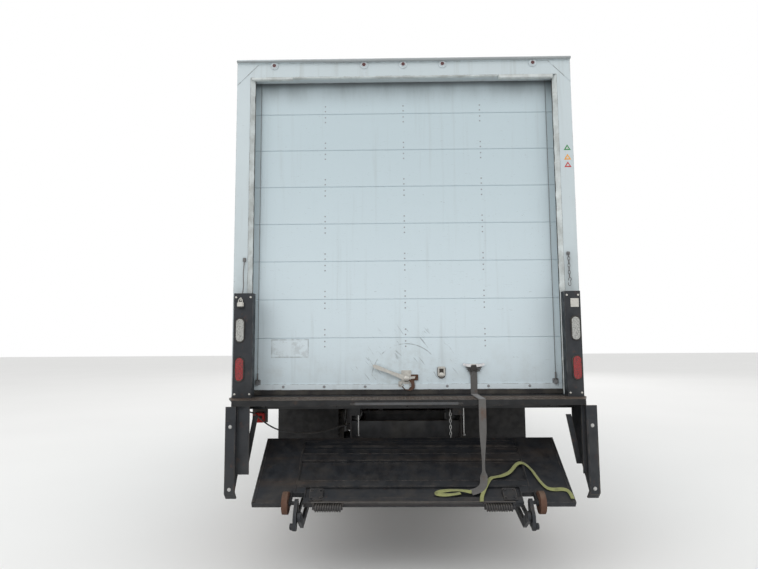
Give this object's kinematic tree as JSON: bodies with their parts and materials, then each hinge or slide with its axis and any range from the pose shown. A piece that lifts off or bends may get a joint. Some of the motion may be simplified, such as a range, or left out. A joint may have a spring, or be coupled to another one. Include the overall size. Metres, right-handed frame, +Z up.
{
  "type": "box truck with tuck-under lift gate",
  "caption": "Conventional-cab box truck: van body with roll-up rear door, folded tuck-under lift gate, steering, turning wheels, opening cab doors and tilting hood.",
  "frame": {"origin": "on the ground under the middle of the truck's outline", "axes": "+Y forward along the truck, +X to its right, +Z up"},
  "size_m": [2.67, 10.623, 3.7947],
  "materials": {
    "body_paint": "white paint, weathered",
    "frame_paint": "white paint over steel, worn and dirty",
    "door_paint": "white coated panel, scuffed",
    "chassis_black": "black chassis paint, dusty",
    "bare_steel": "bare weathered steel",
    "hardware": "zinc-plated steel, dull",
    "tyre_rubber": "dusty black rubber",
    "rim_paint": "white painted wheel",
    "tank_alloy": "plain alloy",
    "glass": "lightly tinted",
    "lens": "moulded lens, red or clear",
    "lamp_glass": "clear lamp lens over a reflector",
    "black_plastic": "moulded black plastic",
    "grey_plastic": "moulded grey plastic",
    "seat_cloth": "grey woven seat cloth",
    "flap_rubber": "sheet rubber, dusty",
    "webbing": "flat woven webbing",
    "floor_wood": "laminated hardwood boards on steel bearers",
    "ram_steel": "polished rod"
  },
  "bodies": {
    "root": {"chassis_frame": "chassis_black", "leaf_springs": "chassis_black", "rear_axle": "chassis_black", "front_axle": "chassis_black", "engine_block": "bare_steel", "radiator": "black_plastic", "drive_shaft": "bare_steel", "fuel_tank": "tank_alloy", "battery_box": "black_plastic", "exhaust": "bare_steel", "air_tanks": "chassis_black", "front_bumper": "chassis_black", "cab_shell": "body_paint", "windshield": "glass", "dashboard": "grey_plastic", "steering_wheel": "black_plastic", "seats": "seat_cloth", "body_floor": "floor_wood", "body_sides": "body_paint", "body_front": "body_paint", "body_roof": "body_paint", "rear_frame": "frame_paint", "door_panels": "door_paint", "door_latch": "hardware", "rear_lamps": "lens", "extension_plate": "bare_steel", "lamp_boxes": "chassis_black", "dock_bumpers": "bare_steel", "mud_flaps": "flap_rubber", "gate_mount": "bare_steel", "pull_strap": "webbing"},
    "hood": {"hood": "body_paint", "headlamps": "lamp_glass", "grille": "black_plastic"},
    "tie_rod": {"tie_rod": "chassis_black"},
    "lift_arms": {"lift_arms": "bare_steel"},
    "parallel_arms": {"parallel_arms": "bare_steel"},
    "shackles": {"shackles": "bare_steel", "gate_rollers": "bare_steel"},
    "gate_platform": {"gate_platform": "bare_steel", "gate_flap": "bare_steel"},
    "ram_barrels": {"ram_barrels": "chassis_black"},
    "ram_rods": {"ram_rods": "ram_steel"},
    "knuckle_left": {"knuckle_left": "chassis_black"},
    "front_wheel_left": {"front_rim_left": "rim_paint", "front_tyre_left": "tyre_rubber"},
    "rear_wheels_left": {"rear_rims_left": "rim_paint", "rear_tyres_left": "tyre_rubber"},
    "cab_door_left": {"cab_door_left": "body_paint", "door_glass_left": "glass", "mirror_left": "black_plastic"},
    "knuckle_right": {"knuckle_right": "chassis_black"},
    "front_wheel_right": {"front_rim_right": "rim_paint", "front_tyre_right": "tyre_rubber"},
    "rear_wheels_right": {"rear_rims_right": "rim_paint", "rear_tyres_right": "tyre_rubber"},
    "cab_door_right": {"cab_door_right": "body_paint", "door_glass_right": "glass", "mirror_right": "black_plastic"}
  },
  "joints": [
    {"name": "steer_left", "type": "hinge", "parent": "root", "child": "knuckle_left", "pos_m": [-0.865, 4.29153, 0.52], "axis": [0, 0, 1], "range_deg": [-32, 32]},
    {"name": "steer_right", "type": "hinge", "parent": "root", "child": "knuckle_right", "pos_m": [0.865, 4.29153, 0.52], "axis": [0, 0, 1], "range_deg": [-32, 32]},
    {"name": "tie_rod_swing", "type": "hinge", "parent": "knuckle_left", "child": "tie_rod", "pos_m": [-0.865, 4.11153, 0.39], "axis": [0, 0, 1], "range_deg": [-32, 32]},
    {"name": "front_wheel_left_spin", "type": "hinge", "parent": "knuckle_left", "child": "front_wheel_left", "pos_m": [-1.03, 4.29153, 0.52], "axis": [1, 0, 0], "continuous": true},
    {"name": "front_wheel_right_spin", "type": "hinge", "parent": "knuckle_right", "child": "front_wheel_right", "pos_m": [1.03, 4.29153, 0.52], "axis": [1, 0, 0], "continuous": true},
    {"name": "rear_wheels_left_spin", "type": "hinge", "parent": "root", "child": "rear_wheels_left", "pos_m": [-0.925, -2.43347, 0.52], "axis": [1, 0, 0], "continuous": true},
    {"name": "rear_wheels_right_spin", "type": "hinge", "parent": "root", "child": "rear_wheels_right", "pos_m": [0.925, -2.43347, 0.52], "axis": [1, 0, 0], "continuous": true},
    {"name": "cab_door_left_swing", "type": "hinge", "parent": "root", "child": "cab_door_left", "pos_m": [-1.03, 3.58053, 1.48], "axis": [0, 0, 1], "range_deg": [-65, 0]},
    {"name": "cab_door_right_swing", "type": "hinge", "parent": "root", "child": "cab_door_right", "pos_m": [1.03, 3.58053, 1.48], "axis": [0, 0, 1], "range_deg": [0, 65]},
    {"name": "hood_tilt", "type": "hinge", "parent": "root", "child": "hood", "pos_m": [0, 5.14653, 0.81], "axis": [-1, 0, 0], "range_deg": [0, 65]},
    {"name": "gate_lower", "type": "hinge", "parent": "root", "child": "lift_arms", "pos_m": [0.022, -4.37947, 0.638], "axis": [1, 0, 0], "range_deg": [0, 26]},
    {"name": "gate_parallel", "type": "hinge", "parent": "root", "child": "parallel_arms", "pos_m": [0.022, -4.39947, 0.583], "axis": [1, 0, 0], "range_deg": [0, 26]},
    {"name": "gate_level", "type": "hinge", "parent": "lift_arms", "child": "shackles", "pos_m": [0.022, -5.26353, 0.46936], "axis": [1, 0, 0], "range_deg": [-26, 0]},
    {"name": "platform_unfold", "type": "hinge", "parent": "shackles", "child": "gate_platform", "pos_m": [0.022, -5.21853, 0.54436], "axis": [1, 0, 0], "range_deg": [0, 146.4], "deforming": ["pull_strap"]},
    {"name": "ram_swing", "type": "hinge", "parent": "root", "child": "ram_barrels", "pos_m": [0.022, -4.07947, 0.66], "axis": [1, 0, 0], "range_deg": [0, 12.47]},
    {"name": "ram_stroke", "type": "slide", "parent": "ram_barrels", "child": "ram_rods", "axis": [0, -0.917, -0.3989], "range_m": [-0.05897, 0]}
  ],
  "couplings": [
    {"joint": "steer_right", "follows": "steer_left", "ratio": 1},
    {"joint": "tie_rod_swing", "follows": "steer_left", "ratio": -1},
    {"joint": "gate_parallel", "follows": "gate_lower", "ratio": 1},
    {"joint": "gate_level", "follows": "gate_lower", "ratio": -1},
    {"joint": "ram_swing", "follows": "gate_lower", "ratio": 0.4792},
    {"joint": "ram_stroke", "follows": "gate_lower", "m_per_rad": -0.12951}
  ]
}
